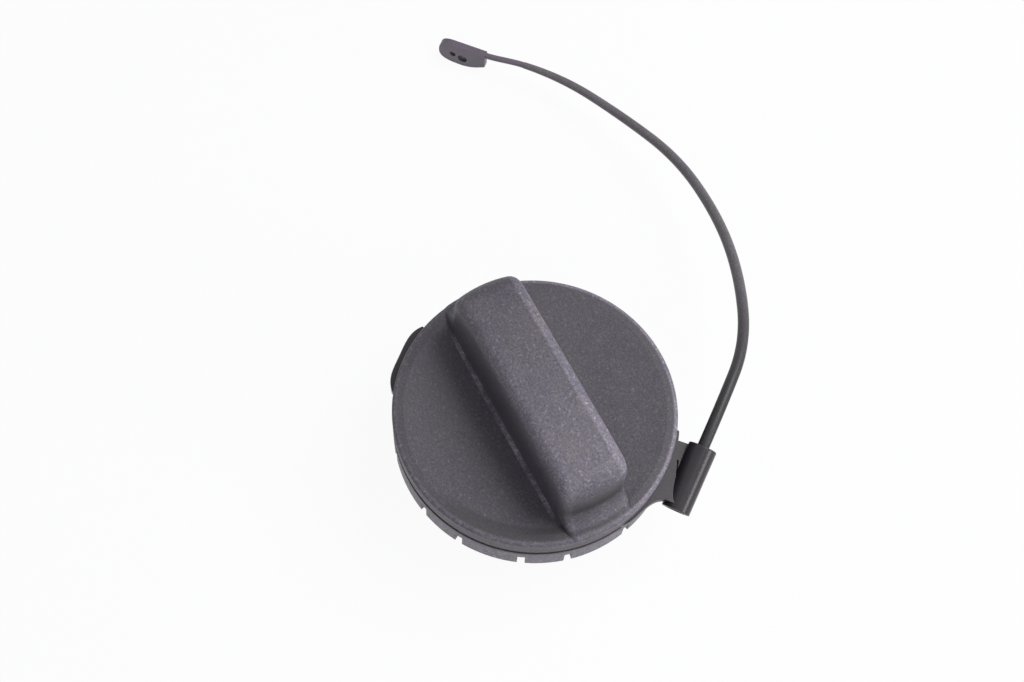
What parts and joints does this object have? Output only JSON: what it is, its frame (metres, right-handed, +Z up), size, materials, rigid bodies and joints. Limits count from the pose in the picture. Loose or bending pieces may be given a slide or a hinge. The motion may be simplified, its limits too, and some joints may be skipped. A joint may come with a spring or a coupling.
{
  "type": "fuel filler cap",
  "caption": "Round fuel filler cap with a tall grip bar, a bayonet barrel with a vent valve, and a moulded tether strand with a flat end tongue.",
  "frame": {"origin": "centre of the lower end of the closure's barrel, on the cap's axis", "axes": "+Z up along the cap's axis towards the grip bar, +X along the grip bar, away from the strand's end tongue"},
  "size_m": [0.189, 0.1286, 0.0598],
  "materials": {
    "cover_plastic": "fine moulded texture, dark purple grey",
    "tether_plastic": "smooth moulded black",
    "closure_plastic": "smooth black with moulding marks",
    "valve_plastic": "natural off-white acetal",
    "seal_rubber": "matt black nitrile rubber",
    "spring_steel": "drawn stainless wire and pressed stainless strip"
  },
  "bodies": {
    "closure": {"closure_body": "closure_plastic", "filler_gasket": "seal_rubber", "torque_ring": "valve_plastic", "splash_guard": "closure_plastic", "valve_housing": "valve_plastic", "housing_oring": "seal_rubber", "pressure_spring": "spring_steel", "pressure_spring_seat": "spring_steel"},
    "cover": {"cover": "cover_plastic", "retaining_ring": "closure_plastic"},
    "tether": {"tether_ring": "tether_plastic", "cord_stop": "tether_plastic", "tether_cord": "tether_plastic", "tether_end": "tether_plastic"},
    "pressure_valve": {"pressure_valve": "valve_plastic", "pressure_seal": "seal_rubber", "vacuum_spring": "spring_steel"},
    "vacuum_valve": {"vacuum_valve": "valve_plastic", "vacuum_seal": "seal_rubber", "vacuum_keeper": "spring_steel"}
  },
  "joints": [
    {"name": "cover_turn", "type": "hinge", "parent": "closure", "child": "cover", "pos_m": [0, 0, 0.0283], "axis": [0, 0, 1], "continuous": true},
    {"name": "tether_swivel", "type": "hinge", "parent": "cover", "child": "tether", "pos_m": [0, 0, 0.0321], "axis": [0, 0, 1], "continuous": true},
    {"name": "pressure_lift", "type": "slide", "parent": "closure", "child": "pressure_valve", "axis": [0, 0, 1], "range_m": [0, 0.0025], "stiffness_N_per_m": 1500, "springref_m": -0.003, "deforming": ["pressure_spring"]},
    {"name": "vacuum_lift", "type": "slide", "parent": "pressure_valve", "child": "vacuum_valve", "axis": [0, 0, -1], "range_m": [0, 0.0015], "stiffness_N_per_m": 200, "springref_m": -0.002, "deforming": ["vacuum_spring"]}
  ]
}
